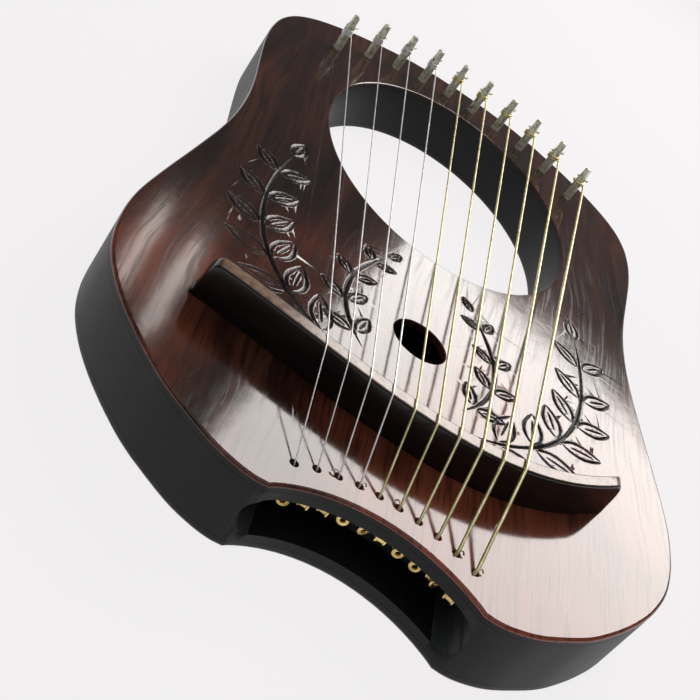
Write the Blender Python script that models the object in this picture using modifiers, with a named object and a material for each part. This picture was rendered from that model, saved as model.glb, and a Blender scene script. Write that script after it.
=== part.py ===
"""Ten-string lyre harp: flat laminated body with an oval opening, bridge, pins and strings.

Blender 4.5, metres, +Z up. The harp lies on its back: +Y runs from the tail to the yoke and
+X to the right of someone looking down on the front board.
"""
import math

import bpy
import bmesh
import numpy as np
from mathutils import Vector

# ---------------------------------------------------------------- driving dimensions
body_length = 0.4185
body_width = 0.2406
body_thickness = 0.030
front_board = 0.0030
back_board = 0.0030
glue_line = 0.0001
edge_round = 0.0012

oval_length = 0.184
oval_width = 0.140
sound_hole_diameter = 0.024

pin_diameter = 0.0048
pin_showing = 0.021
pin_buried = 0.020
pin_clearance = 0.0003
pin_head_side = 0.0034
pin_head_length = 0.0058

bridge_height = 0.0156
bridge_thickness = 0.007

slot_height = 0.017
slot_roof = 0.0065
tail_hole_diameter = 0.003
ball_diameter = 0.0044
ball_length = 0.0042

string_gap = 0.0003
string_diameters = (0.0005, 0.0005, 0.0006, 0.0007, 0.0009,
                    0.0010, 0.0011, 0.0012, 0.0013, 0.0014)

# ---------------------------------------------------------------- sizes that follow from them
half_length = body_length / 2
half_width = body_width / 2
front_face = body_thickness
board_underside = body_thickness - front_board
frame_bottom = back_board + glue_line
frame_top = board_underside - glue_line

oval_centre_y = 0.369 * half_length
oval_half_x = oval_width / 2
oval_half_y = oval_length / 2
sound_hole_y = -0.400 * half_length

scoop_middle_y = -0.933 * half_length
scoop_radius = 0.258 * body_width
hole_inset = 0.0102
hole_pitch = 0.0312 * body_width
slot_half_width = 0.171 * body_width
slot_back_y = scoop_middle_y + 0.018
slot_top = front_face - slot_roof
slot_bottom = slot_top - slot_height

pin_arc_radius = 0.4156 * body_width
pin_arc_top = 0.9021 * half_length
pin_pitch = 0.0711 * body_width
pin_row_shift = -0.0166 * body_width

bridge_bow = (-0.7435, -0.0205, 0.2233, 0.1845)
bridge_half_span = 0.362 * body_width
bridge_top = front_face + glue_line + bridge_height
string_pitch_at_bridge = 0.0372 * body_width

coil_top = front_face + 0.0132
coil_bottom = coil_top - 0.0042
ball_shift = 0.006
ball_centre_z = slot_top - string_gap - ball_diameter / 2
brace_height = 0.008
brace_width = 0.006
patch_thickness = 0.0025

# half outline from the tail corner round to the yoke, as fractions of half width and half length
outline_stations = (
    (0.322, -0.9985), (0.366, -1.000), (0.424, -0.994), (0.499, -0.978), (0.590, -0.947),
    (0.665, -0.917), (0.731, -0.882), (0.793, -0.844), (0.856, -0.799), (0.910, -0.751),
    (0.957, -0.694), (0.985, -0.634), (0.998, -0.570), (1.000, -0.510), (0.993, -0.455),
    (0.979, -0.393), (0.962, -0.326), (0.942, -0.252), (0.921, -0.170), (0.901, -0.085),
    (0.888, 0.000), (0.884, 0.085), (0.889, 0.165), (0.902, 0.243), (0.920, 0.320),
    (0.938, 0.396), (0.954, 0.472), (0.962, 0.540), (0.961, 0.602), (0.948, 0.668),
    (0.909, 0.736), (0.840, 0.795), (0.748, 0.845), (0.632, 0.892), (0.499, 0.933),
    (0.352, 0.969), (0.190, 0.992), (0.000, 1.000))

# half outline of the sound chamber, same fractions, from the tail side round to the oval
chamber_stations = (
    (0.000, -0.808), (0.300, -0.808), (0.600, -0.808), (0.710, -0.785), (0.790, -0.725),
    (0.850, -0.640), (0.880, -0.540), (0.882, -0.440), (0.865, -0.340), (0.840, -0.240),
    (0.800, -0.130), (0.740, -0.060), (0.640, -0.035), (0.500, -0.045), (0.380, -0.080),
    (0.220, -0.112), (0.000, -0.127))


# ---------------------------------------------------------------- helpers
def make_material(name, colour, roughness, metallic=0.0):
    material = bpy.data.materials.new(name)
    material.use_nodes = True
    shader = material.node_tree.nodes["Principled BSDF"]
    shader.inputs["Base Color"].default_value = (*colour, 1.0)
    shader.inputs["Roughness"].default_value = roughness
    shader.inputs["Metallic"].default_value = metallic
    material.diffuse_color = (*colour, 1.0)
    return material


def add_object(name, mesh, material, smooth=False):
    obj = bpy.data.objects.new(name, mesh)
    bpy.context.scene.collection.objects.link(obj)
    if material:
        mesh.materials.append(material)
    for face in mesh.polygons:
        face.use_smooth = smooth
    return obj


def mesh_from(name, vertices, faces):
    mesh = bpy.data.meshes.new(name)
    mesh.from_pydata([tuple(v) for v in vertices], [], faces)
    mesh.validate()
    bm = bmesh.new()
    bm.from_mesh(mesh)
    bmesh.ops.recalc_face_normals(bm, faces=bm.faces)
    bm.to_mesh(mesh)
    bm.free()
    return mesh


def arc_drop(x, radius):
    """How far a circle of this radius falls below its top at a distance x to the side."""
    return radius - math.sqrt(radius * radius - x * x)


def smooth_through(points, steps):
    """Catmull-Rom curve through the points, with its ends mirrored in the centre line."""
    pts = [Vector(p) for p in points]
    first = Vector((-pts[1].x, pts[1].y)) if abs(pts[0].x) < 1e-9 else 2 * pts[0] - pts[1]
    last = Vector((-pts[-2].x, pts[-2].y)) if abs(pts[-1].x) < 1e-9 else 2 * pts[-1] - pts[-2]
    pts = [first] + pts + [last]
    curve = []
    for i in range(1, len(pts) - 2):
        a, b, c, d = pts[i - 1], pts[i], pts[i + 1], pts[i + 2]
        for k in range(steps):
            t = k / steps
            curve.append(0.5 * (2 * b + (c - a) * t + (2 * a - 5 * b + 4 * c - d) * t * t
                                + (3 * b - a - 3 * c + d) * t * t * t))
    curve.append(pts[-2])
    return curve


def mirrored_loop(half):
    """Closed loop from a half outline that starts and ends on the centre line."""
    left = [Vector((-p.x, p.y)) for p in reversed(half[1:-1])]
    return list(half) + left


def body_loop():
    stations = [(x * half_width, y * half_length) for x, y in outline_stations]
    side = smooth_through(stations, 3)
    corner_x = side[0].x
    scoop = []
    steps = 11
    for i in range(steps):
        x = corner_x * 0.955 * i / (steps - 1)
        scoop.append(Vector((x, scoop_middle_y - arc_drop(x, scoop_radius))))
    return mirrored_loop(scoop + side)


def ellipse_loop(half_x, half_y, centre_y, count):
    turn = 2 * math.pi / count
    return [Vector((half_x * math.cos(i * turn), centre_y + half_y * math.sin(i * turn)))
            for i in range(count)]


def inset_loop(loop, distance):
    """Move each point inward along the bisector of its two edges."""
    count = len(loop)
    area = sum(loop[i].x * loop[(i + 1) % count].y - loop[(i + 1) % count].x * loop[i].y
               for i in range(count))
    side = 1.0 if area > 0 else -1.0
    moved = []
    for i in range(count):
        before = (loop[i] - loop[i - 1]).normalized()
        after = (loop[(i + 1) % count] - loop[i]).normalized()
        tangent = (before + after).normalized()
        normal = Vector((-tangent.y, tangent.x)) * side
        moved.append(loop[i] + normal * distance)
    return moved


def stack(name, rings):
    """Solid skinned over a stack of loops: each ring is (loop, height)."""
    count = len(rings[0][0])
    vertices = [(p.x, p.y, z) for loop, z in rings for p in loop]
    faces = []
    for level in range(len(rings) - 1):
        for i in range(count):
            j = (i + 1) % count
            low = level * count
            high = low + count
            faces.append((low + i, low + j, high + j, high + i))
    faces.append(tuple(range(count)))
    faces.append(tuple((len(rings) - 1) * count + i for i in range(count)))
    return mesh_from(name, vertices, faces)


def slab(name, loop, bottom, top, round_top=0.0, round_bottom=0.0):
    rings = []
    if round_bottom:
        rings.append((inset_loop(loop, round_bottom), bottom))
        rings.append((inset_loop(loop, round_bottom * 0.3), bottom + round_bottom * 0.3))
        rings.append((loop, bottom + round_bottom))
    else:
        rings.append((loop, bottom))
    if round_top:
        rings.append((loop, top - round_top))
        rings.append((inset_loop(loop, round_top * 0.3), top - round_top * 0.3))
        rings.append((inset_loop(loop, round_top), top))
    else:
        rings.append((loop, top))
    return stack(name, rings)


cutters = bpy.data.collections.new("cutters")


def add_cutter(name, mesh):
    obj = bpy.data.objects.new(name, mesh)
    cutters.objects.link(obj)
    obj.hide_render = True
    obj.display_type = "WIRE"
    return obj


def rod_mesh(name, start, end, radius, sides):
    """Straight round rod between two points."""
    axis = (end - start).normalized()
    across = axis.cross(Vector((0, 1, 0)) if abs(axis.y) < 0.9 else Vector((1, 0, 0)))
    across.normalize()
    other = axis.cross(across)
    vertices = []
    for centre in (start, end):
        for i in range(sides):
            angle = 2 * math.pi * (i + 0.5) / sides
            vertices.append(centre + across * radius * math.cos(angle)
                            + other * radius * math.sin(angle))
    faces = [(i, (i + 1) % sides, sides + (i + 1) % sides, sides + i) for i in range(sides)]
    faces.append(tuple(range(sides)))
    faces.append(tuple(range(sides, 2 * sides)))
    return mesh_from(name, vertices, faces)


def joined(name, meshes):
    bm = bmesh.new()
    for mesh in meshes:
        bm.from_mesh(mesh)
    out = bpy.data.meshes.new(name)
    bm.to_mesh(out)
    bm.free()
    return out


def cut(target, cutter):
    modifier = target.modifiers.new(cutter.name, "BOOLEAN")
    modifier.operation = "DIFFERENCE"
    modifier.solver = "EXACT"
    modifier.object = cutter


def turned(name, profile, sides, material, location=(0, 0, 0)):
    """Turn a half profile (radius, height), listed from top to bottom, about Z."""
    mesh = bpy.data.meshes.new(name)
    edges = [(i, i + 1) for i in range(len(profile) - 1)]
    mesh.from_pydata([(r, 0.0, z) for r, z in profile], edges, [])
    obj = add_object(name, mesh, material)
    obj.location = location
    screw = obj.modifiers.new("turn", "SCREW")
    screw.angle = 2 * math.pi
    screw.steps = sides
    screw.render_steps = sides
    screw.use_merge_vertices = True
    screw.merge_threshold = 0.00001
    screw.use_smooth_shade = True
    return obj


def pin_place(i):
    x = pin_row_shift + (i - 4.5) * pin_pitch
    return Vector((x, pin_arc_top - arc_drop(x, pin_arc_radius), front_face))


def tail_hole_place(i):
    x = (i - 4.5) * hole_pitch
    y = scoop_middle_y + hole_inset - arc_drop(x, scoop_radius + hole_inset)
    return Vector((x, y, front_face))


def ball_place(i):
    """Under its hole, drawn toward the tail along the line to the scoop's centre."""
    mouth = tail_hole_place(i)
    centre = Vector((0.0, scoop_middle_y - scoop_radius, front_face))
    toward = (centre - mouth).normalized()
    place = mouth + toward * ball_shift
    place.z = ball_centre_z
    return place


def bridge_face(x):
    """The bridge's tail face: a cubic in the place across the width, straighter on the left."""
    s = x / half_width
    return half_length * sum(c * s ** n for n, c in enumerate(bridge_bow))


# ---------------------------------------------------------------- empty scene
for old in list(bpy.data.objects):
    bpy.data.objects.remove(old, do_unlink=True)
bpy.context.scene.collection.children.link(cutters)

# ---------------------------------------------------------------- materials
front_wood = make_material("front_rosewood", (0.045, 0.018, 0.014), 0.15)
side_wood = make_material("side_dark_wood", (0.022, 0.020, 0.019), 0.40)
back_wood = make_material("back_dark_wood", (0.030, 0.018, 0.015), 0.35)
inner_wood = make_material("inner_spruce", (0.42, 0.29, 0.16), 0.65)
bridge_wood = make_material("bridge_ebony", (0.012, 0.009, 0.008), 0.22)
pin_steel = make_material("pin_steel", (0.42, 0.42, 0.37), 0.35, 1.0)
steel_wire = make_material("steel_wire", (0.62, 0.62, 0.60), 0.25, 1.0)
bronze_wire = make_material("bronze_wire", (0.72, 0.62, 0.34), 0.30, 1.0)
ball_brass = make_material("ball_brass", (0.60, 0.46, 0.20), 0.32, 1.0)

# ---------------------------------------------------------------- cutters for the body
outline = body_loop()
oval = ellipse_loop(oval_half_x, oval_half_y, oval_centre_y, 72)
oval_mesh = slab("oval_cutter", oval, -0.01, front_face + 0.01)
oval_cutter = add_cutter("oval_cutter", oval_mesh)

hole_centre = Vector((0.0, sound_hole_y, 0.0))
sound_hole_mesh = rod_mesh(
    "sound_hole_cutter", hole_centre + Vector((0, 0, board_underside - 0.005)),
    hole_centre + Vector((0, 0, front_face + 0.005)), sound_hole_diameter / 2, 40)

tail_drills = []
for i in range(10):
    mouth = tail_hole_place(i)
    along = (mouth - ball_place(i)).normalized()
    start = mouth - along * (slot_roof + 0.004)
    tail_drills.append(rod_mesh("tail_drill", start, mouth + along * 0.004,
                                tail_hole_diameter / 2, 12))

pin_drills = []
for i in range(10):
    top = pin_place(i)
    pin_drills.append(rod_mesh("pin_drill", top - Vector((0, 0, pin_buried + 0.0015)),
                               top + Vector((0, 0, 0.004)),
                               pin_diameter / 2 + pin_clearance, 24))
drill_cutter = add_cutter("drill_cutter", joined("drill_cutter", tail_drills + pin_drills))
front_cutter = add_cutter("front_cutter", joined(
    "front_cutter", [oval_mesh, sound_hole_mesh] + tail_drills + pin_drills))

chamber_half = smooth_through([(x * half_width, y * half_length)
                               for x, y in chamber_stations], 2)
chamber_mesh = slab("chamber_cutter", mirrored_loop(chamber_half), 0.001, front_face)
frame_cutter = add_cutter("frame_cutter", joined("frame_cutter", [oval_mesh, chamber_mesh]))

# the milled slot: a long round-ended shape seen on the tail face, cut straight in along +Y
slot_middle_z = (slot_top + slot_bottom) / 2
slot_corner = 0.42 * slot_height
slot_profile = []
for sx, sz, first in ((1, 1, 0), (-1, 1, 90), (-1, -1, 180), (1, -1, 270)):
    for k in range(6):
        angle = math.radians(first + 18 * k)
        slot_profile.append((sx * (slot_half_width - slot_corner) + slot_corner * math.cos(angle),
                             slot_middle_z + sz * (slot_height / 2 - slot_corner)
                             + slot_corner * math.sin(angle)))
slot_points = []
for y in (-half_length - 0.02, slot_back_y):
    slot_points += [(x, y, z) for x, z in slot_profile]
slot_count = len(slot_profile)
slot_faces = [(i, (i + 1) % slot_count, slot_count + (i + 1) % slot_count, slot_count + i)
              for i in range(slot_count)]
slot_faces.append(tuple(range(slot_count)))
slot_faces.append(tuple(range(slot_count, 2 * slot_count)))
slot_cutter = add_cutter("slot_cutter", mesh_from("slot_cutter", slot_points, slot_faces))

# ---------------------------------------------------------------- the three layers of the body
front_plate = add_object("front_plate", slab(
    "front_plate", outline, board_underside, front_face, round_top=edge_round), front_wood)
cut(front_plate, front_cutter)

body_frame = add_object("body_frame", slab(
    "body_frame", outline, frame_bottom, frame_top), side_wood)
cut(body_frame, frame_cutter)
cut(body_frame, slot_cutter)
cut(body_frame, drill_cutter)

back_plate = add_object("back_plate", slab(
    "back_plate", outline, 0.0, back_board, round_bottom=edge_round), back_wood)
cut(back_plate, oval_cutter)


# ---------------------------------------------------------------- inside the sound chamber
def box_mesh(name, low, high):
    loop = [Vector((low[0], low[1])), Vector((high[0], low[1])),
            Vector((high[0], high[1])), Vector((low[0], high[1]))]
    return slab(name, loop, low[2], high[2])


brace_top = frame_top
for name, y, reach in (("brace_upper", -0.245, 0.79), ("brace_lower", -0.535, 0.85)):
    centre_y = y * half_length
    reach_x = reach * half_width
    brace = add_object(name, box_mesh(
        name, (-reach_x, centre_y - brace_width / 2, brace_top - brace_height),
        (reach_x, centre_y + brace_width / 2, brace_top)), inner_wood)


def arc_band(name, half_span, inner_y, outer_y, bottom, heights):
    """Bar that follows the bridge's curve; heights gives (place along half span, height)."""
    places = [-a for a, h in reversed(heights[1:])] + [a for a, h in heights]
    tall = [h for a, h in reversed(heights[1:])] + [h for a, h in heights]
    chamfer = 0.0005
    vertices = []
    for place, height in zip(places, tall):
        x = place * half_span
        y0 = bridge_face(x) + inner_y
        y1 = bridge_face(x) + outer_y
        z1 = bottom + height
        for y, z in ((y0, bottom), (y1, bottom), (y1, z1 - chamfer),
                     (y1 - chamfer, z1), (y0 + chamfer, z1), (y0, z1 - chamfer)):
            vertices.append((x, y, z))
    faces = []
    for s in range(len(places) - 1):
        for k in range(6):
            a = s * 6 + k
            b = s * 6 + (k + 1) % 6
            faces.append((a, b, b + 6, a + 6))
    faces.append(tuple(range(6)))
    faces.append(tuple((len(places) - 1) * 6 + k for k in range(6)))
    return mesh_from(name, vertices, faces)


flat = [(i / 12 * 0.9, patch_thickness) for i in range(13)]
bridge_patch = add_object("bridge_patch", arc_band(
    "bridge_patch", bridge_half_span, -0.004, bridge_thickness + 0.004,
    frame_top - patch_thickness, flat), inner_wood)

ends = [(0.0, 1.0), (0.12, 1.0), (0.24, 1.0), (0.36, 1.0), (0.48, 1.0), (0.60, 1.0),
        (0.70, 1.0), (0.79, 1.0), (0.86, 1.0), (0.91, 1.0), (0.935, 0.995), (0.95, 0.97),
        (0.963, 0.92), (0.974, 0.83), (0.981, 0.70), (0.985, 0.55), (0.988, 0.20), (1.0, 0.09)]
bridge = add_object("bridge", arc_band(
    "bridge", bridge_half_span, 0.0, bridge_thickness, front_face + glue_line,
    [(a, h * bridge_height) for a, h in ends]), bridge_wood)

# ---------------------------------------------------------------- tuning pins
pin_radius = pin_diameter / 2
pin_profile = ((0.0, pin_showing - 0.002), (pin_radius * 0.6, pin_showing - 0.002),
               (pin_radius * 0.6, pin_showing - pin_head_length),
               (pin_radius, pin_showing - pin_head_length - 0.0004),
               (pin_radius, 0.0002), (pin_radius, -pin_buried + 0.001),
               (pin_radius - 0.0008, -pin_buried), (0.0, -pin_buried))
hole_height = coil_top - front_face + 0.0011
string_eye = add_cutter("string_eye", rod_mesh(
    "string_eye", Vector((-0.01, 0, hole_height)), Vector((0.01, 0, hole_height)),
    0.0007, 10))
pins = []
for i in range(10):
    place = pin_place(i)
    pin = turned("tuning_pin_%02d" % (i + 1), pin_profile, 24, pin_steel, place)
    head_side = pin_head_side / 2
    head_top = head_side * 0.86
    low = [Vector((sx * head_side, sy * head_side))
           for sx, sy in ((1, 1), (-1, 1), (-1, -1), (1, -1))]
    high = [p * head_top / head_side for p in low]
    tip = [p * 0.7 for p in high]
    head = add_cutter("pin_head_%02d" % (i + 1), stack("pin_head", [
        (low, pin_showing - pin_head_length - 0.0003), (high, pin_showing - 0.0006),
        (tip, pin_showing)]))
    head.location = place
    union = pin.modifiers.new("square_head", "BOOLEAN")
    union.operation = "UNION"
    union.solver = "EXACT"
    union.object = head
    eye = string_eye.copy()
    cutters.objects.link(eye)
    eye.name = "string_eye_%02d" % (i + 1)
    eye.location = place
    cut(pin, eye)
    pins.append(pin)
bpy.data.objects.remove(string_eye, do_unlink=True)

# ---------------------------------------------------------------- wound ends, strings, ball ends
ball_turns = (0, 84, 78, 0, 24, 96, 4, -6, 34, 74)
for i in range(10):
    wire = string_diameters[i]
    material = steel_wire if i < 4 else bronze_wire
    number = "%02d" % (i + 1)
    pin_at = pin_place(i)

    # wound end: close turns round the pin, with a corrugated outside
    inner = pin_radius + string_gap
    turns = 4
    rise = (coil_top - coil_bottom) / turns
    profile = [(inner, coil_top - 0.0001)]
    for k in range(turns):
        top = coil_top - k * rise
        profile.append((inner + wire * 0.72, top - rise * 0.06))
        profile.append((inner + wire, top - rise * 0.5))
        profile.append((inner + wire * 0.72, top - rise * 0.94))
    profile.append((inner, coil_bottom + 0.0001))
    profile.append(profile[0])
    coil = turned("string_coil_" + number, [(r, z - front_face) for r, z in profile], 20,
                  material, pin_at)

    # string: ball end, tail hole, over the bridge, to the side of the wound end
    ball_at = ball_place(i)
    mouth = tail_hole_place(i)
    along = (mouth - ball_at).normalized()
    bridge_x = (i - 4.5) * string_pitch_at_bridge
    over = bridge_top + string_gap + wire / 2
    pin_side = Vector((pin_at.x + inner + wire * 1.5 + string_gap, pin_at.y,
                       coil_bottom + wire / 2))
    lean = (pin_side.x - bridge_x) / (pin_side.y - bridge_face(bridge_x))
    far_x = bridge_x + lean * bridge_thickness
    route = [ball_at + along * (ball_diameter / 2 + string_gap + wire / 2),
             mouth + Vector((0, 0, 0.0004 + wire / 2)),
             Vector((bridge_x, bridge_face(bridge_x) + 0.0002, over)),
             Vector((far_x, bridge_face(far_x) + bridge_thickness - 0.0002, over)),
             pin_side]
    curve = bpy.data.curves.new("string_" + number, "CURVE")
    curve.dimensions = "3D"
    curve.bevel_depth = wire / 2
    curve.bevel_resolution = 2
    curve.use_fill_caps = True
    spline = curve.splines.new("POLY")
    spline.points.add(len(route) - 1)
    for point, place in zip(spline.points, route):
        point.co = (*place, 1.0)
    wire_obj = bpy.data.objects.new("string_" + number, curve)
    bpy.context.scene.collection.objects.link(wire_obj)
    curve.materials.append(material)

    # ball end: a small flanged bush, its bore lying level
    bore = 0.0008
    flange = ball_diameter / 2
    waist = flange * 0.80
    half = ball_length / 2
    bush = ((bore, half), (flange, half), (flange, half * 0.6), (waist, half * 0.4),
            (waist, -half * 0.4), (flange, -half * 0.6), (flange, -half), (bore, -half),
            (bore, half))
    ball = turned("ball_end_" + number, bush, 16, ball_brass, ball_at)
    ball.rotation_euler = (math.radians(90), 0.0, math.radians(ball_turns[i]))
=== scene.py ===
"""Small ten-string lyre harp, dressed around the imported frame. Metres, +Z up, +Y toward the yoke."""

import bpy
import bmesh
import numpy as np
from mathutils import Matrix, Vector
from mathutils.geometry import delaunay_2d_cdt


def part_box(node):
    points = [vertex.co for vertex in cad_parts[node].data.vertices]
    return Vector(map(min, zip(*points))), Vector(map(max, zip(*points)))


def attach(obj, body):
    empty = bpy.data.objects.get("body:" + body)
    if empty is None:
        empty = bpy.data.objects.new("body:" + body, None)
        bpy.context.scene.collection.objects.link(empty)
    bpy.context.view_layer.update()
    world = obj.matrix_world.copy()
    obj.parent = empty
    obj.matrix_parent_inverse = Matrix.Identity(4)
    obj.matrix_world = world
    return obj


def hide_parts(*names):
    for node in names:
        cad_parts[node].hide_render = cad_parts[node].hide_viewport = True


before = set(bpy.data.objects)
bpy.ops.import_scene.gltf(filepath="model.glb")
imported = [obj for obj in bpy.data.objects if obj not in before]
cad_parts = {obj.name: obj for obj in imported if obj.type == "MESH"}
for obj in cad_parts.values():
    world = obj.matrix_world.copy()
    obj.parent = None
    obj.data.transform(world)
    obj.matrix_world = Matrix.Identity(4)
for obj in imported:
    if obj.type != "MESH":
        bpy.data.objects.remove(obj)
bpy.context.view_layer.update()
scene = bpy.context.scene

# ---- Studio: a pale floor turned up at its far edge, one large softbox behind the yoke that glares
# on the lacquer, a narrow strip beside it, and a broad even light overhead.
scene.view_settings.view_transform = "Standard"
world = bpy.data.worlds.new("studio")
world.use_nodes = True
world.node_tree.nodes["Background"].inputs["Color"].default_value = (0.93, 0.97, 1.0, 1.0)
world.node_tree.nodes["Background"].inputs["Strength"].default_value = 0.11
scene.world = world


def aim(obj, place, target, up=(0, 0, 1)):
    """Put obj at place with its -Z pointing at target and its X level with respect to up."""
    forward = (Vector(target) - Vector(place)).normalized()
    right = forward.cross(Vector(up)).normalized()
    upward = right.cross(forward)
    turn = Matrix((right, upward, -forward)).transposed()
    obj.matrix_world = Matrix.Translation(place) @ turn.to_4x4()


def softbox(name, place, target, wide, high, radiance, colour=(1, 1, 1)):
    """Rectangular light of even brightness: power is radiance times pi times area."""
    light = bpy.data.lights.new(name, "AREA")
    light.shape = "RECTANGLE"
    light.size = wide
    light.size_y = high
    light.energy = radiance * np.pi * wide * high
    light.color = colour
    obj = bpy.data.objects.new(name, light)
    scene.collection.objects.link(obj)
    aim(obj, place, target)
    return obj


softbox("key_softbox", (0.455, 0.90, 0.79), (0.02, -0.05, 0.03), 0.70, 0.61, 7.9, (1.0, 0.955, 0.92))
softbox("left_strip", (-0.134, 0.90, 0.665), (-0.10, -0.13, 0.03), 0.020, 0.13, 5.5, (1.0, 0.95, 0.90))
softbox("second_strip", (-0.072, 0.90, 0.69), (-0.09, -0.13, 0.03), 0.022, 0.15, 5.5, (1.0, 0.95, 0.90))
softbox("overhead", (0.0, -0.25, 1.9), (0.0, 0.0, 0.0), 2.4, 2.4, 0.55)

camera_data = bpy.data.cameras.new("camera")
camera_data.sensor_width = 36.0
camera_data.lens = 61.45
camera_data.clip_start = 0.02
camera = bpy.data.objects.new("camera", camera_data)
scene.collection.objects.link(camera)
camera_place = Vector((-0.0997, -0.4825, 0.2434))
aim(camera, camera_place, camera_place + Vector((0.1707, 0.8503, -0.4978)), (-0.5254, 0.5059, 0.6841))
scene.camera = camera

# a flat disc out to 5 m, then a cove that rises by 0.9 m
rings = np.array([0.0, 0.3, 0.8, 1.6, 3.0, 5.0, 5.5, 5.9, 6.1])
rise = np.array([0.0, 0.0, 0.0, 0.0, 0.0, 0.0, 0.08, 0.34, 0.90])
round_way = np.linspace(0, 2 * np.pi, 97)[:-1]
floor_points = np.stack([np.outer(rings[1:], np.cos(round_way)), np.outer(rings[1:], np.sin(round_way)),
                         np.repeat(rise[1:, None] - 0.0004, 96, 1)], -1).reshape(-1, 3)
k = np.arange(96)
floor_faces = [tuple(int(v) for v in k)]
for ring in range(len(rings) - 2):
    a = ring * 96 + k
    b = ring * 96 + (k + 1) % 96
    floor_faces += [tuple(int(v) for v in q) for q in np.stack([a, a + 96, b + 96, b], 1)]
floor_mesh = bpy.data.meshes.new("floor")
floor_mesh.from_pydata(floor_points.tolist(), [], floor_faces)
floor = bpy.data.objects.new("floor", floor_mesh)
scene.collection.objects.link(floor)
floor_paint = bpy.data.materials.new("floor_paint")
floor_paint.use_nodes = True
floor_shader = floor_paint.node_tree.nodes["Principled BSDF"]
floor_shader.inputs["Base Color"].default_value = (0.075, 0.074, 0.074, 1.0)
floor_shader.inputs["Roughness"].default_value = 0.9
floor_shader.inputs["Specular IOR Level"].default_value = 0.0
floor_shader.inputs["Emission Color"].default_value = (0.845, 0.828, 0.838, 1.0)
floor_shader.inputs["Emission Strength"].default_value = 1.0
floor_mesh.materials.append(floor_paint)

# ---- Front board: 3 mm of dark red-brown veneered wood under thick clear lacquer. It is sawn to the
# body's outline, its edge is rounded over, and plain leaf sprigs are cut in by hand with a V gouge and
# filled with black lacquer. Ten small holes near the tail take the strings, ten more the pins.
HALF_LENGTH = 0.20925
HALF_WIDTH = 0.1203
BOARD_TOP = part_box("front_plate")[1][2]
BOARD_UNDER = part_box("front_plate")[0][2]
EDGE_ROUND = 0.0012
BODY_STATIONS = np.array((
    (0.322, -0.9985), (0.366, -1.000), (0.424, -0.994), (0.499, -0.978), (0.590, -0.947),
    (0.665, -0.917), (0.731, -0.882), (0.793, -0.844), (0.856, -0.799), (0.910, -0.751),
    (0.957, -0.694), (0.985, -0.634), (0.998, -0.570), (1.000, -0.510), (0.993, -0.455),
    (0.979, -0.393), (0.962, -0.326), (0.942, -0.252), (0.921, -0.170), (0.901, -0.085),
    (0.888, 0.000), (0.884, 0.085), (0.889, 0.165), (0.902, 0.243), (0.920, 0.320),
    (0.938, 0.396), (0.954, 0.472), (0.962, 0.540), (0.961, 0.602), (0.948, 0.668),
    (0.909, 0.736), (0.840, 0.795), (0.748, 0.845), (0.632, 0.892), (0.499, 0.933),
    (0.352, 0.969), (0.190, 0.992), (0.000, 1.000)))
SCOOP_MIDDLE = -0.1952
SCOOP_RADIUS = 0.0621
OVAL = (0.070, 0.092, 0.0772)
SOUND_HOLE = (0.012, -0.0837)
BURR_WIDTH = 0.00050
BURR_HEIGHT = 0.00013
CUT_SLOPE = 0.75
STRING_HOLE_PITCH = 0.0312
PIN_PITCH = 0.0711


def smooth_line(stations, steps, before=None, after=None):
    """Each span is the Catmull-Rom cubic of its four nearest stations; before and after extend it."""
    p = np.asarray(stations, float)
    first = 2 * p[0] - p[1] if before is None else np.asarray(before)
    last = 2 * p[-1] - p[-2] if after is None else np.asarray(after)
    p = np.vstack([first, p, last])
    t = np.linspace(0, 1, steps, endpoint=False)[:, None]
    a, b, c, d = (p[j:len(p) - 3 + j, None, :] for j in range(4))
    curve = 0.5 * (2 * b + (c - a) * t + (2 * a - 5 * b + 4 * c - d) * t ** 2
                   + (3 * b - a - 3 * c + d) * t ** 3)
    return np.vstack([curve.reshape(-1, p.shape[1]), p[-2]])


def drop(x, radius):
    """How far a circle falls below its top at x to the side: radius less the other short side."""
    return radius - np.sqrt(radius ** 2 - np.asarray(x) ** 2)


def circle(radius_x, radius_y, centre, count):
    """Ellipse as a closed loop of count points."""
    angle = (np.arange(count) + 0.5) * 2 * np.pi / count
    return np.stack([centre[0] + radius_x * np.cos(angle), centre[1] + radius_y * np.sin(angle)], 1)


def inset(loop, distance):
    """Closed anticlockwise loop moved inward along its normals, from central differences."""
    ahead = np.roll(loop, -1, 0) - np.roll(loop, 1, 0)
    ahead /= np.linalg.norm(ahead, axis=1)[:, None]
    return loop + distance * np.stack([-ahead[:, 1], ahead[:, 0]], 1)


def body_outline(steps):
    """Scoop arc, then the smooth side; the half loop is mirrored in the long axis."""
    side = BODY_STATIONS * (HALF_WIDTH, HALF_LENGTH)
    side = smooth_line(side, steps, after=side[-2] * (-1, 1))
    x = np.linspace(0, side[0, 0] * 0.955, 24)
    half = np.vstack([np.stack([x, SCOOP_MIDDLE - drop(x, SCOOP_RADIUS)], 1), side])
    return np.vstack([half, half[-2:0:-1] * (-1, 1)])


def inside(points, loop):
    """Even-odd rule: a point is inside if a ray to its right crosses the loop an odd number of times."""
    x, y = points[:, 0, None], points[:, 1, None]
    x0, y0 = loop[None, :, 0], loop[None, :, 1]
    x1, y1 = np.roll(loop[:, 0], -1)[None], np.roll(loop[:, 1], -1)[None]
    cross = ((y0 > y) != (y1 > y)) & (x < x0 + (y - y0) * (x1 - x0) / (y1 - y0 + 1e-15))
    return cross.sum(1) % 2 == 1


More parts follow.
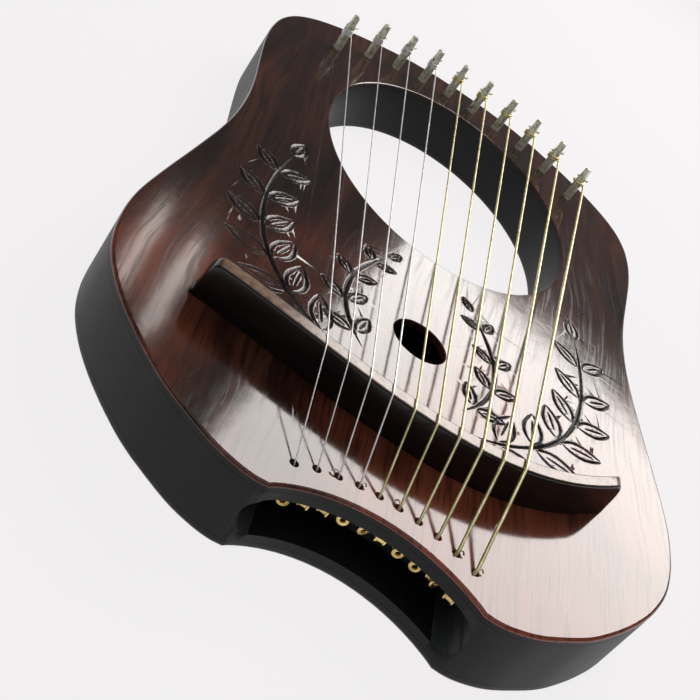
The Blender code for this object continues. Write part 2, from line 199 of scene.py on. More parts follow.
def groove_depth(points, centres, halves, rises):
    """V cut, slope times (half width less distance to the nearest centre line), and outside it a low
    burr that falls away over BURR_WIDTH and dies out where the cut is narrow; the burr counts as
    negative depth."""
    depth = np.zeros(len(points))
    burr = np.zeros(len(points))
    for start in range(0, len(centres), 400):
        c = centres[start:start + 400]
        w = halves[start:start + 400]
        out = np.hypot(points[:, 0, None] - c[None, :, 0], points[:, 1, None] - c[None, :, 1]) - w[None]
        depth = np.maximum(depth, (-CUT_SLOPE * out).max(1))
        near = np.clip(1 - np.abs(out) / BURR_WIDTH, 0, 1) * rises[None, start:start + 400]
        burr = np.maximum(burr, near.max(1))
    return np.where(depth > 0.00003, depth, depth - BURR_HEIGHT * burr)


def sheet(loops, lines):
    """Triangles that fill the first loop, less the other loops, and follow the given lines."""
    points = []
    edges = []
    for loop, closed in [(l, True) for l in loops] + [(l, False) for l in lines]:
        base = len(points)
        points += [Vector(p) for p in loop.tolist()]
        edges += [(base + j, base + j + 1) for j in range(len(loop) - 1)]
        if closed:
            edges.append((base + len(loop) - 1, base))
    out = delaunay_2d_cdt(points, edges, [], 0, 1e-7)
    flat = np.array([tuple(p) for p in out[0]])
    triangles = np.array([f for f in out[2]])
    centre = flat[triangles].mean(1)
    keep = inside(centre, loops[0])
    for loop in loops[1:]:
        keep &= ~inside(centre, loop)
    return flat, triangles[keep]


def wall(loop, profile, inward, lean=(0.0, 0.0)):
    """A profile of (inset, height) carried round a loop; inward is +1 outside and -1 in a hole. Each
    row is shifted by lean times its fall below the first."""
    rows = [np.c_[inset(loop, inward * step) + np.array(lean) * (profile[0][1] - z),
                  np.full(len(loop), z)] for step, z in profile]
    count = len(loop)
    j = np.arange(count)
    quads = [np.stack([r * count + j, (r + 1) * count + j, (r + 1) * count + (j + 1) % count,
                       r * count + (j + 1) % count], 1) for r in range(len(profile) - 1)]
    return np.vstack(rows), np.vstack(quads)


def round_profile(radius, top, bottom, steps=5):
    """Quarter round at the top edge, then straight down."""
    angle = np.linspace(0, np.pi / 2, steps if radius else 1)
    arc = [(radius * (1 - np.sin(a)), top - radius * (1 - np.cos(a))) for a in angle]
    return arc + [(0.0, bottom)]


def make_mesh(name, points, faces, sharp=35.0, kind=None):
    """Weld the points, turn every face outward, leave level faces flat and shade the rest smooth
    between edges sharper than given. kind is each face's place in the list of materials."""
    mesh = bpy.data.meshes.new(name)
    mesh.from_pydata(np.asarray(points).tolist(), [], [tuple(int(v) for v in f) for f in faces])
    if kind is not None:
        mesh.polygons.foreach_set("material_index", kind)
    bm = bmesh.new()
    bm.from_mesh(mesh)
    bmesh.ops.remove_doubles(bm, verts=bm.verts, dist=2e-7)
    bmesh.ops.recalc_face_normals(bm, faces=bm.faces)
    bm.to_mesh(mesh)
    bm.free()
    mesh.shade_smooth()
    mesh.set_sharp_from_angle(angle=np.radians(sharp))
    level = np.zeros(len(mesh.polygons) * 3, np.float32)
    mesh.polygons.foreach_get("normal", level)
    mesh.polygons.foreach_set("use_smooth", np.abs(level[2::3]) < 0.99999)
    return mesh


def place_piece(name, mesh, materials, body, nodes=()):
    """Link a mesh as a piece that rides on a body, takes a slot's finish and stands for nodes."""
    obj = bpy.data.objects.new(name, mesh)
    scene.collection.objects.link(obj)
    for material in materials:
        mesh.materials.append(material)
    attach(obj, body)
    if nodes:
        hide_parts(*nodes)
    return obj


def board(outer, holes, top, bottom, radius, lines=(), depth_at=None, turned_over=False):
    """Flat board: filled sheet on top, rounded rim, holes as (loop, edge radius, lean) and a plain
    sheet underneath. Returns points, faces and each face's kind: 0 plain, 1 in a cut, 2 on the
    upright part of the outer rim or of a hole wider than 40 mm."""
    rims = [(outer, radius, (0, 0), 1)] + [(loop, r, lean, -1) for loop, r, lean in holes]
    flat, triangles = sheet([inset(loop, side * r) for loop, r, lean, side in rims], lines)
    height = np.full(len(flat), top)
    kind = [np.zeros(len(triangles), np.int32)]
    if depth_at is not None:
        height = top - depth_at(flat)
        kind[0] += depth_at(flat[triangles].mean(1)) > 1e-5
    points = [np.c_[flat, height]]
    faces = [tuple(t) for t in triangles]
    base = len(flat)
    for loop, r, lean, side in rims:
        v, q = wall(loop, round_profile(r, top, bottom), side, lean)
        points.append(v)
        faces += [tuple(f + base) for f in q]
        kind.append(np.zeros(len(q), np.int32))
        kind[-1][-len(loop):] = 2 * (np.ptp(loop[:, 0]) > 0.04)
        base += len(v)
    flat, triangles = sheet([loop + np.array(lean) * (top - bottom) for loop, r, lean, side in rims], ())
    points.append(np.c_[flat, np.full(len(flat), bottom)])
    faces += [tuple(t + base) for t in triangles]
    kind.append(np.zeros(len(triangles), np.int32))
    points = np.vstack(points)
    if turned_over:
        points[:, 2] = top + bottom - points[:, 2]
    return points, faces, np.hstack(kind)


# each sprig's stem in millimetres, as a start, a bend and an end, then its pairs of leaves and their length
SPRIGS = (
    ((-26, -124), (-92, -100), (-76, -4), 6, 23.0),
    ((-22, -112), (-48, -80), (-22, -38), 4, 14.0))
LEAF_SPREAD = np.radians(48)
LEAF_WIDTH = 0.20
LEAF_STALK = 1.6
STEM_GOUGE = 1.6
LEAF_GOUGE = 1.3
RIB_GOUGE = 0.9


def leaf(base, angle, length):
    """Two sides bowed out by LEAF_WIDTH of the length times a sine, and a straight rib between them."""
    along = np.array((np.cos(angle), np.sin(angle)))
    aside = np.array((-along[1], along[0]))
    t = np.linspace(0, 1, 6)[:, None]
    bow = LEAF_WIDTH * length * np.sin(np.pi * t ** 0.85) * aside
    middle = base + along * length * t
    rib = base + along * length * np.linspace(0.22, 0.78, 4)[:, None]
    return [(LEAF_GOUGE, middle + bow), (LEAF_GOUGE, middle - bow), (RIB_GOUGE, rib)]


def sprig(start, bend, end, pairs, length):
    """A stem on a quadratic curve, leaves in pairs along it that shorten toward its end, and one at
    the end. Returns (gouge width, stations) for every cut."""
    start, bend, end = (np.array(p, float) for p in (start, bend, end))

    def stem(t):
        return (1 - t) ** 2 * start + 2 * t * (1 - t) * bend + t ** 2 * end

    cuts = [(STEM_GOUGE, stem(np.linspace(0, 1, 12)[:, None]))]
    for t in np.linspace(0.10, 0.88, pairs):
        ahead = (1 - t) * (bend - start) + t * (end - bend)
        angle = np.arctan2(ahead[1], ahead[0])
        for side in (-1, 1):
            place = angle + side * LEAF_SPREAD
            root = stem(t) + LEAF_STALK * np.array((np.cos(place), np.sin(place)))
            cuts += leaf(root, place, length * (1 - 0.30 * t))
    ahead = end - bend
    root = end + LEAF_STALK * ahead / np.linalg.norm(ahead)
    return cuts + leaf(root, np.arctan2(ahead[1], ahead[0]), length * 0.7)


def sprig_lines():
    """Each cut tapers as the root of a sine to its ends, and its width wanders a little by hand."""
    lines = []
    centres = []
    halves = []
    rises = []
    for number, (width, stations) in enumerate(cut for stem in SPRIGS for cut in sprig(*stem)):
        middle = smooth_line(stations / 1000, 5)
        t = np.linspace(0, 1, len(middle))
        taper = np.sqrt(np.abs(np.sin(np.pi * t))).round(6)
        wander = 1 + 0.10 * np.sin(t * 23 + number) + 0.06 * np.sin(t * 51 + 2 * number)
        half = 1.5 * width / 2000 * taper * wander
        ahead = np.gradient(middle, axis=0)
        ahead /= np.linalg.norm(ahead, axis=1)[:, None]
        across = np.stack([-ahead[:, 1], ahead[:, 0]], 1)
        fine = smooth_line(np.c_[middle, half, np.clip((taper - 0.55) / 0.35, 0, 1)], 3)
        for flip in ((1, 1), (-1, 1)):
            lines.append(middle * flip)
            for out in (half[:, None], half[:, None] + BURR_WIDTH):
                lines += [(middle + across * out)[1:-1] * flip, (middle - across * out)[1:-1] * flip]
            centres.append(fine[:, :2] * flip)
            halves.append(fine[:, 2])
            rises.append(fine[:, 3])
    return lines, np.vstack(centres), np.hstack(halves), np.hstack(rises)


sprig_cuts, *sprig_grooves = sprig_lines()
string_row = np.arange(10) - 4.5
tail_x = string_row * STRING_HOLE_PITCH * 2 * HALF_WIDTH
tail_y = SCOOP_MIDDLE + 0.0102 - drop(tail_x, SCOOP_RADIUS + 0.0102)
pin_x = (-0.0166 + string_row * PIN_PITCH) * 2 * HALF_WIDTH
pin_y = 0.9021 * HALF_LENGTH - drop(pin_x, 0.4156 * 2 * HALF_WIDTH)
outline = body_outline(6)
oval_loop = circle(OVAL[0], OVAL[1], (0, OVAL[2]), 240)
sound_loop = circle(SOUND_HOLE[0], SOUND_HOLE[0], (0, SOUND_HOLE[1]), 72)
tail_away = np.array((0.0, SCOOP_MIDDLE - SCOOP_RADIUS)) - np.stack([tail_x, tail_y], 1)
tail_lean = tail_away / np.linalg.norm(tail_away, axis=1)[:, None] * 0.006 / 0.009
hole_loops = [(oval_loop, 0.0009, (0, 0)), (sound_loop, 0.0005, (0, 0))]
hole_loops += [(circle(0.0015, 0.0015, (x, y), 20), 0.00025, lean)
               for x, y, lean in zip(tail_x, tail_y, tail_lean)]
hole_loops += [(circle(0.0027, 0.0027, place, 28), 0.0002, (0, 0)) for place in zip(pin_x, pin_y)]


def principled(name, roughness=0.5, metallic=0.0, specular=0.5, coat=0.0, coat_roughness=0.03):
    """New material; returns it with a function that adds nodes and the shader itself."""
    material = bpy.data.materials.new(name)
    material.use_nodes = True
    tree = material.node_tree
    shader = tree.nodes["Principled BSDF"]
    shader.inputs["Roughness"].default_value = roughness
    shader.inputs["Metallic"].default_value = metallic
    shader.inputs["Specular IOR Level"].default_value = specular
    shader.inputs["Coat Weight"].default_value = coat
    shader.inputs["Coat Roughness"].default_value = coat_roughness

    def add(kind, inputs=(), **settings):
        node = tree.nodes.new(kind)
        for key, value in settings.items():
            setattr(node, key, value)
        for key, value in dict(inputs).items():
            if isinstance(value, bpy.types.NodeSocket):
                tree.links.new(value, node.inputs[key])
            else:
                node.inputs[key].default_value = value
        return node

    return material, add, shader, tree.links.new


def ramp(add, factor, stops):
    """Colour ramp from (position, colour) stops."""
    node = add("ShaderNodeValToRGB", {"Fac": factor})
    band = node.color_ramp.elements
    while len(band) < len(stops):
        band.new(0.5)
    for element, (position, colour) in zip(band, stops):
        element.position = position
        element.color = (*colour, 1.0)
    return node.outputs["Color"]


def grained_wood(name, dark, middle, light, roughness, relief, wave=0.0, streaks=60.0, pore_gloss=1.8,
                 pore_tone=0.8, blush=None, **settings):
    """Straight grain along Y: stretched noise for figure, finer streaks for pores, the pores lightly in
    relief; wave adds the slow swell and the fine ripple of thick lacquer, blush a redder patch."""
    material, add, shader, link = principled(name, roughness, **settings)
    place = add("ShaderNodeTexCoord").outputs["Object"]
    bend = add("ShaderNodeTexNoise", {"Vector": place, "Scale": 7.0, "Detail": 2.0})
    bent = add("ShaderNodeVectorMath", {0: bend.outputs["Color"], 1: (0.030, 0.0, 0.012)},
               operation="MULTIPLY")
    shifted = add("ShaderNodeVectorMath", {0: place, 1: bent.outputs[0]}, operation="ADD")
    long_way = add("ShaderNodeMapping", {"Vector": shifted.outputs[0], "Scale": (1.0, 0.055, 1.0)})
    figure = add("ShaderNodeTexNoise", {"Vector": long_way.outputs[0], "Scale": streaks,
                                        "Detail": 4.0, "Roughness": 0.6})
    pores_way = add("ShaderNodeMapping", {"Vector": shifted.outputs[0], "Scale": (1.0, 0.03, 1.0)})
    pores = add("ShaderNodeTexNoise", {"Vector": pores_way.outputs[0], "Scale": 620.0,
                                       "Detail": 2.0, "Roughness": 0.6})
    tone = ramp(add, figure.outputs["Fac"], ((0.32, dark), (0.50, middle), (0.70, light)))
    if blush:
        patch = add("ShaderNodeTexNoise", {"Vector": place, "Scale": 13.0, "Detail": 2.0})
        where = add("ShaderNodeMapRange", {"Value": patch.outputs["Fac"], "From Min": 0.38,
                                           "From Max": 0.62, "To Min": 0.0, "To Max": 0.85})
        low = add("ShaderNodeMapRange", {"Value": add("ShaderNodeSeparateXYZ", {0: place}).outputs["Y"],
                                         "From Min": -0.03, "From Max": -0.13, "To Min": 0.12,
                                         "To Max": 1.0})
        share = add("ShaderNodeMath", {0: where.outputs[0], 1: low.outputs[0]}, operation="MULTIPLY")
        tone = add("ShaderNodeMixRGB", {"Fac": share.outputs[0], "Color1": tone,
                                        "Color2": (*blush, 1.0)}, blend_type="ADD").outputs["Color"]
    line = ramp(add, pores.outputs["Fac"], ((0.38, (0.40, 0.38, 0.37)), (0.50, (1, 1, 1))))
    mixed = add("ShaderNodeMixRGB", {"Fac": pore_tone, "Color1": tone, "Color2": line},
                blend_type="MULTIPLY")
    link(mixed.outputs["Color"], shader.inputs["Base Color"])
    gloss = add("ShaderNodeMapRange", {"Value": pores.outputs["Fac"], "From Min": 0.34,
                                       "From Max": 0.50, "To Min": roughness * pore_gloss,
                                       "To Max": roughness})
    link(gloss.outputs[0], shader.inputs["Roughness"])
    grain = add("ShaderNodeBump", {"Height": pores.outputs["Fac"], "Strength": 1.0,
                                   "Distance": relief})
    normal = grain.outputs["Normal"]
    if wave:
        for scale, depth in ((26.0, wave), (190.0, wave / 9)):
            roll = add("ShaderNodeTexNoise", {"Vector": place, "Scale": scale, "Detail": 1.5})
            normal = add("ShaderNodeBump", {"Height": roll.outputs["Fac"], "Strength": 1.0,
                                            "Distance": depth, "Normal": normal}).outputs["Normal"]
    link(normal, shader.inputs["Normal"])
    return material


front_wood = grained_wood("front_wood_lacquered", (0.008, 0.004, 0.003), (0.034, 0.012, 0.008),
                          (0.095, 0.032, 0.018), 0.09, 0.000002, wave=0.00013, pore_gloss=1.6,
                          streaks=95.0, blush=(0.230, 0.052, 0.024))
carved_lacquer, add, shader, link = principled("carved_black_lacquer", 0.24, specular=0.4)
place = add("ShaderNodeTexCoord").outputs["Object"]
chatter = add("ShaderNodeTexNoise", {"Vector": place, "Scale": 900.0, "Detail": 3.0})
link(ramp(add, chatter.outputs["Fac"], ((0.35, (0.004, 0.003, 0.003)), (0.7, (0.022, 0.014, 0.011)))),
     shader.inputs["Base Color"])
link(add("ShaderNodeBump", {"Height": chatter.outputs["Fac"], "Strength": 0.6,
                            "Distance": 0.0002}).outputs["Normal"], shader.inputs["Normal"])

points, faces, kind = board(outline, hole_loops, BOARD_TOP, BOARD_UNDER, EDGE_ROUND, sprig_cuts,
                            lambda p: groove_depth(p, *sprig_grooves))
front_mesh = make_mesh("front_board", points, faces, 60, kind)
rim_stain = grained_wood("rim_stain_charcoal", (0.0100, 0.0105, 0.0110), (0.0125, 0.0130, 0.0135),
                         (0.0170, 0.0150, 0.0150), 0.45, 0.000001, streaks=90.0, pore_tone=0.05,
                         pore_gloss=1.05, specular=0.2)
place_piece("front_board", front_mesh, [front_wood, carved_lacquer, rim_stain], "harp",
            ["front_plate"])

# ---- Body ring: the solid sawn wall between the boards, stained charcoal brown and left satin. The
# sound chamber is hollowed out of it, the slot is milled in from the tail, and the pins' and
# strings' holes are drilled into it.
RING_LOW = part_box("body_frame")[0][2]
RING_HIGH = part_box("body_frame")[1][2]
CHAMBER_STATIONS = np.array((
    (0.000, -0.808), (0.300, -0.808), (0.600, -0.808), (0.710, -0.785), (0.790, -0.725),
    (0.850, -0.640), (0.880, -0.540), (0.882, -0.440), (0.865, -0.340), (0.840, -0.240),
    (0.800, -0.130), (0.740, -0.060), (0.640, -0.035), (0.500, -0.045), (0.380, -0.080),
    (0.220, -0.112), (0.000, -0.127)))
SLOT = (0.0411, 0.0065, 0.0235, SCOOP_MIDDLE + 0.018)
SLOT_CORNER = 0.0071
BALL_HEIGHT = 0.0210


def tube(path, radius, sides=8, away=(0, 0, 1)):
    """Circle of the given radius carried square to a path, its sides counted from the direction that
    is square to both the path and away; both ends are closed."""
    path = np.asarray(path, float)
    radius = np.broadcast_to(radius, len(path))
    ahead = np.gradient(path, axis=0)
    ahead /= np.linalg.norm(ahead, axis=1)[:, None]
    side = np.cross(ahead, away)
    side /= np.linalg.norm(side, axis=1)[:, None]
    up = np.cross(side, ahead)
    angle = (np.arange(sides) + 0.5) * 2 * np.pi / sides
    ring = side[:, None] * np.cos(angle)[None, :, None] + up[:, None] * np.sin(angle)[None, :, None]
    points = (path[:, None] + ring * radius[:, None, None]).reshape(-1, 3)
    return points, tube_faces(len(path), sides)


def tube_faces(rows, sides, closed=False):
    """Quads between rows of sides points, with one face on each end unless the rows close up."""
    r, j = np.meshgrid(np.arange(rows if closed else rows - 1), np.arange(sides), indexing="ij")
    after = (r + 1) % rows
    quads = np.stack([r * sides + j, r * sides + (j + 1) % sides,
                      after * sides + (j + 1) % sides, after * sides + j], -1).reshape(-1, 4)
    faces = [tuple(q) for q in quads]
    if not closed:
        faces += [tuple(range(sides))[::-1], tuple(range((rows - 1) * sides, rows * sides))]
    return faces


def join(parts):
    """Several (points, faces) as one."""
    points = []
    faces = []
    base = 0
    for v, f in parts:
        points.append(v)
        faces += [tuple(int(k) + base for k in face) for face in f]
        base += len(v)
    return np.vstack(points), faces


def cut_away(mesh, *cutters):
    """The mesh less each closed cutter in turn."""
    obj = bpy.data.objects.new("stock", mesh)
    scene.collection.objects.link(obj)
    tools = []
    for points, faces in cutters:
        tool = bpy.data.objects.new("cutter", make_mesh("cutter", points, faces))
        scene.collection.objects.link(tool)
        tools.append(tool)
        saw = obj.modifiers.new("cut", "BOOLEAN")
        saw.operation = "DIFFERENCE"
        saw.solver = "EXACT"
        saw.object = tool
    result = bpy.data.meshes.new_from_object(obj.evaluated_get(bpy.context.evaluated_depsgraph_get()))
    for old in tools + [obj]:
        bpy.data.objects.remove(old, do_unlink=True)
    return result


chamber_half = smooth_line(CHAMBER_STATIONS * (HALF_WIDTH, HALF_LENGTH), 4)
chamber_loop = np.vstack([chamber_half, chamber_half[-2:0:-1] * (-1, 1)])
points, faces, kind = board(outline, [(oval_loop, 0.0, (0, 0)), (chamber_loop, 0.0, (0, 0))],
                            RING_HIGH, RING_LOW, 0.0)
corner = np.radians(np.repeat((0, 90, 180, 270), 8) + np.tile(np.linspace(0, 90, 8), 4))
slot_x = np.repeat((1, -1, -1, 1), 8) * (SLOT[0] - SLOT_CORNER) + SLOT_CORNER * np.cos(corner)
slot_z = (np.repeat((1, 1, -1, -1), 8) * ((SLOT[2] - SLOT[1]) / 2 - SLOT_CORNER)
          + SLOT_CORNER * np.sin(corner) + (SLOT[1] + SLOT[2]) / 2)
slot_rows = [np.c_[slot_x, np.full(32, y), slot_z] for y in (-HALF_LENGTH - 0.02, SLOT[3])]
mouths = np.c_[tail_x, tail_y, np.full(10, BOARD_TOP)]
drills = [tube([mouth - np.r_[-lean, 1.0] * 0.0105, mouth + np.r_[-lean, 1.0] * 0.004], 0.0014, 12,
               (1, 0, 0)) for mouth, lean in zip(mouths, tail_lean)]
drills += [tube([(x, y, BOARD_TOP - 0.0215), (x, y, BOARD_TOP + 0.004)], 0.0027, 24, (1, 0, 0))
           for x, y in zip(pin_x, pin_y)]
ring_mesh = cut_away(make_mesh("body_ring", points, faces, 30), (np.vstack(slot_rows), tube_faces(2, 32)),
                     join(drills))
ring_mesh.name = "body_ring"
ring_mesh.materials.clear()
side_wood = grained_wood("side_wood_charcoal", (0.0100, 0.0112, 0.0120), (0.0118, 0.0130, 0.0138),
                         (0.0140, 0.0152, 0.0156), 0.45, 0.000001, streaks=90.0, pore_tone=0.05,
                         pore_gloss=1.05, specular=0.18)
# The slot's walls are coloured paler than the sides: painted light, standing in for light that reaches into
# the slot.
slot_painted_light = grained_wood("slot_wall_painted_light", (0.018, 0.021, 0.023), (0.028, 0.031, 0.033),
                          (0.045, 0.048, 0.050), 0.45, 0.000004, streaks=60.0, pore_tone=0.3,
                          specular=0.25)
centres = np.zeros(len(ring_mesh.polygons) * 3, np.float32)
ring_mesh.polygons.foreach_get("center", centres)
centres = centres.reshape(-1, 3)
in_slot = ((centres[:, 1] < SLOT[3] + 0.0002) & (np.abs(centres[:, 0]) < SLOT[0] + 0.0002)
           & (centres[:, 2] > SLOT[1] - 0.0002) & (centres[:, 2] < SLOT[2] + 0.0002)
           & inside(centres[:, :2].astype(float), inset(outline, 0.0004)))
ring_mesh.polygons.foreach_set("material_index", in_slot.astype(np.int32))
place_piece("body_ring", ring_mesh, [side_wood, slot_painted_light], "harp", ["body_frame"])

# ---- Back board: 3 mm of plain dark red-brown wood, lacquered thinner than the front and dulled by
# the lap, with the same outline, oval and rounded edge.
back_wood = grained_wood("back_wood_dull", (0.014, 0.007, 0.005), (0.030, 0.014, 0.010),
                         (0.060, 0.026, 0.017), 0.30, 0.00003, streaks=45.0)
back_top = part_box("back_plate")[1][2]
points, faces, kind = board(outline, [(oval_loop, 0.0009, (0, 0))], back_top, 0.0, EDGE_ROUND,
                            turned_over=True)
place_piece("back_board", make_mesh("back_board", points, faces, 60, kind),
            [back_wood, carved_lacquer, rim_stain], "harp", ["back_plate"])

# ---- Inside the sound chamber: two spruce braces and the patch under the bridge, pale and unfinished,
# glued to the front board's underside.
inner_spruce = grained_wood("inner_spruce_bare", (0.34, 0.22, 0.11), (0.46, 0.32, 0.18),
                            (0.58, 0.44, 0.27), 0.62, 0.00006, streaks=140.0, specular=0.3)
for name in ("brace_upper", "brace_lower", "bridge_patch"):
    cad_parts[name].material_slots[0].material = inner_spruce

# ---- Bridge: one curved bar of ebonised wood, 7 mm thick, its upward faces coloured brown as a painted highlight, the softbox's glare on its top. It stands on the lacquer, its ends rounded at the top with a low toe at the foot.
BRIDGE_BOW = (-0.7435, -0.0205, 0.2233, 0.1845)
BRIDGE_SPAN = 0.362 * 2 * HALF_WIDTH
BRIDGE_THICK = 0.007
BRIDGE_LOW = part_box("bridge")[0][2]
BRIDGE_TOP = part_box("bridge")[1][2]
BRIDGE_STEPS = np.array((
    (0.0, 1.0), (0.60, 1.0), (0.90, 1.0), (0.93, 0.998), (0.945, 0.985), (0.957, 0.95), (0.967, 0.89),
    (0.974, 0.82), (0.980, 0.70), (0.9835, 0.55), (0.985, 0.35), (0.987, 0.19), (0.991, 0.13), (1.0, 0.09)))


def bridge_face(x):
    """Tail face: a cubic in the place across the width, straighter on the left."""
    s = np.asarray(x) / HALF_WIDTH
    return HALF_LENGTH * np.polyval(BRIDGE_BOW[::-1], s)


def bridge_bar():
    """Rounded upright section carried along the curve; the height at each place is read off
    BRIDGE_STEPS and the section's upper corners are quarter rounds no larger than half its height."""
    place = np.unique(np.r_[np.linspace(0, 0.86, 44), np.linspace(0.86, 1, 60)])
    place = np.r_[-place[:0:-1], place]
    tall = np.interp(np.abs(place), *BRIDGE_STEPS.T) * (BRIDGE_TOP - BRIDGE_LOW)
    x = place * BRIDGE_SPAN
    angle = np.linspace(0, np.pi / 2, 5)
    round_out = np.minimum(0.0010, tall / 2)[:, None]
    end_in = 0.0012 * np.clip((np.abs(place) - 0.985) / 0.015, 0, 1)[:, None] ** 2
    across = np.concatenate([np.zeros((len(x), 1)) + end_in, round_out * (1 - np.cos(angle)) + end_in], 1)
    up = np.concatenate([np.zeros((len(x), 1)), tall[:, None] - round_out * (1 - np.sin(angle))], 1)
    across = np.concatenate([across, BRIDGE_THICK - across[:, ::-1]], 1)
    up = np.concatenate([up, up[:, ::-1]], 1)
    y = bridge_face(x)[:, None] + across
    points = np.stack([np.repeat(x[:, None], 12, 1), y, BRIDGE_LOW + up], -1).reshape(-1, 3)
    return points, tube_faces(len(x), 12)


bridge_black, add, shader, link = principled("bridge_ebonised", 0.20)
place = add("ShaderNodeTexCoord").outputs["Object"]
along = add("ShaderNodeMapping", {"Vector": place, "Scale": (0.07, 1.0, 1.0)})
fibre = add("ShaderNodeTexNoise", {"Vector": along.outputs[0], "Scale": 260.0, "Detail": 4.0})
stain = ramp(add, fibre.outputs["Fac"], ((0.35, (0.004, 0.003, 0.003)), (0.65, (0.011, 0.007, 0.006))))
# The faces that point up take a speckled brown: a painted highlight, the softbox's glare on the bar's top
# put in as colour.
speck = add("ShaderNodeTexNoise", {"Vector": place, "Scale": 300.0, "Detail": 5.0})
painted_top_glare = ramp(add, speck.outputs["Fac"], ((0.36, (0.12, 0.055, 0.030)), (0.58, (0.30, 0.17, 0.10))))
facing = add("ShaderNodeSeparateXYZ", {0: add("ShaderNodeNewGeometry").outputs["Normal"]})
top = add("ShaderNodeMapRange", {"Value": facing.outputs["Z"], "From Min": 0.80, "From Max": 0.97,
                                 "To Min": 0.0, "To Max": 1.0})
link(add("ShaderNodeMixRGB", {"Fac": top.outputs[0], "Color1": stain, "Color2": painted_top_glare}).outputs["Color"],
     shader.inputs["Base Color"])
link(add("ShaderNodeBump", {"Height": fibre.outputs["Fac"], "Strength": 1.0,
                            "Distance": 0.00001}).outputs["Normal"], shader.inputs["Normal"])
points, faces = bridge_bar()
place_piece("bridge_bar", make_mesh("bridge_bar", points, faces, 50), [bridge_black], "harp",
            ["bridge"])

# ---- Tuning pins: turned nickel-plated steel, gone dull and olive, with a filed square head for the key
# and a cross hole for the string. Each is driven into the yoke and turned to its own angle.
PIN_RADIUS = 0.0024
EYE_HEIGHT = BOARD_TOP + 0.0143
PIN_ROWS = np.array((  # height over the board in mm, half size in mm, 2 for round up to 9 for square
    (-20.0, 1.6, 2), (-19.0, 2.4, 2), (0.3, 2.4, 2), (8.0, 2.4, 2), (14.2, 2.4, 2), (14.9, 2.36, 2),
    (15.4, 2.10, 3), (15.9, 1.78, 6), (16.5, 1.68, 9), (19.4, 1.60, 9), (20.3, 1.56, 8), (20.75, 1.40, 6),
    (21.0, 1.05, 4)))
PIN_TURNS = np.radians((12, -31, 24, 40, -14, 8, 33, -24, 18, -38))


def pin_blank():
    """Superellipse rings: radius is size over the p-th root of |cos|^p + |sin|^p, p going from 2
    (round) to 9 (square), then the cross hole is cut through along X."""
    angle = (np.arange(32) + 0.5) * 2 * np.pi / 32
    size, power = PIN_ROWS[:, 1, None] / 1000, PIN_ROWS[:, 2, None]
    reach = size / (np.abs(np.cos(angle)) ** power + np.abs(np.sin(angle)) ** power) ** (1 / power)
    points = np.stack([reach * np.cos(angle), reach * np.sin(angle),
                       np.repeat(BOARD_TOP + PIN_ROWS[:, :1] / 1000, 32, 1)], -1).reshape(-1, 3)
    mesh = make_mesh("pin_blank", points, tube_faces(len(PIN_ROWS), 32))
    mesh = cut_away(mesh, tube([(-0.01, 0, EYE_HEIGHT), (0.01, 0, EYE_HEIGHT)], 0.00075, 14))
    flat = np.array([v.co for v in mesh.vertices])
    return flat, [tuple(p.vertices) for p in mesh.polygons]


pin_steel, add, shader, link = principled("pin_dull_nickel", 0.34, metallic=0.75)
place = add("ShaderNodeTexCoord").outputs["Object"]
tarnish = add("ShaderNodeTexNoise", {"Vector": place, "Scale": 420.0, "Detail": 5.0, "Roughness": 0.65})
link(ramp(add, tarnish.outputs["Fac"], ((0.30, (0.16, 0.16, 0.10)), (0.42, (0.55, 0.55, 0.42)),
                                        (0.60, (0.86, 0.86, 0.72)))), shader.inputs["Base Color"])
rub = add("ShaderNodeMapRange", {"Value": tarnish.outputs["Fac"], "From Min": 0.35, "From Max": 0.65,
                                 "To Min": 0.55, "To Max": 0.26})
link(rub.outputs[0], shader.inputs["Roughness"])
filed = add("ShaderNodeMapping", {"Vector": place, "Scale": (1.0, 1.0, 4.0)})
marks = add("ShaderNodeTexNoise", {"Vector": filed.outputs[0], "Scale": 700.0, "Detail": 3.0})
link(add("ShaderNodeBump", {"Height": marks.outputs["Fac"], "Strength": 0.5,
                            "Distance": 0.0004}).outputs["Normal"], shader.inputs["Normal"])
blank, blank_faces = pin_blank()


def turned(points, angle, x, y):
    """Points turned about the upright axis and moved to x, y."""
    c, s = np.cos(angle), np.sin(angle)
    return np.stack([x + c * points[:, 0] - s * points[:, 1], y + s * points[:, 0] + c * points[:, 1],
                     points[:, 2]], 1)


for i in range(10):
    number = "%02d" % (i + 1)
    mesh = make_mesh("pin_" + number, turned(blank, PIN_TURNS[i], pin_x[i], pin_y[i]), blank_faces, 32)
    place_piece("pin_" + number + "_steel", mesh, [pin_steel], "pin_" + number,
                ["tuning_pin_" + number])

# ---- Wound ends: each string's last turns lie close on its pin and its cut end goes up through the
# cross hole. Strings 1 to 4 are plain steel; 5 to 10 are steel wound with bronze, thinned at the end.
WIRE = np.array((0.5, 0.5, 0.6, 0.7, 0.9, 1.0, 1.1, 1.2, 1.3, 1.4)) / 1000
COIL_LOW = BOARD_TOP + 0.0090
COIL_HIGH = BOARD_TOP + 0.0132


def wire_metal(name, dark, bright, roughness, winding):
    """Drawn wire; the winding is a fine even band along Y, in relief."""
    material, add, shader, link = principled(name, roughness, metallic=1.0)
    place = add("ShaderNodeTexCoord").outputs["Object"]
    stain = add("ShaderNodeTexNoise", {"Vector": place, "Scale": 160.0, "Detail": 4.0})
    link(ramp(add, stain.outputs["Fac"], ((0.32, dark), (0.6, bright))), shader.inputs["Base Color"])
    if winding:
        band = add("ShaderNodeTexWave", {"Vector": place, "Scale": winding}, bands_direction="Y")
        height = band.outputs["Fac"]
    else:
        height = add("ShaderNodeTexNoise", {"Vector": place, "Scale": 2500.0}).outputs["Fac"]
    link(add("ShaderNodeBump", {"Height": height, "Strength": 0.5, "Distance": 0.00005}).outputs["Normal"],
         shader.inputs["Normal"])
    return material


steel_wire = wire_metal("steel_wire", (0.74, 0.73, 0.71), (0.96, 0.95, 0.93), 0.34, 0)
bronze_wire = wire_metal("bronze_wound_wire", (0.66, 0.57, 0.27), (0.95, 0.86, 0.52), 0.34, 700.0)


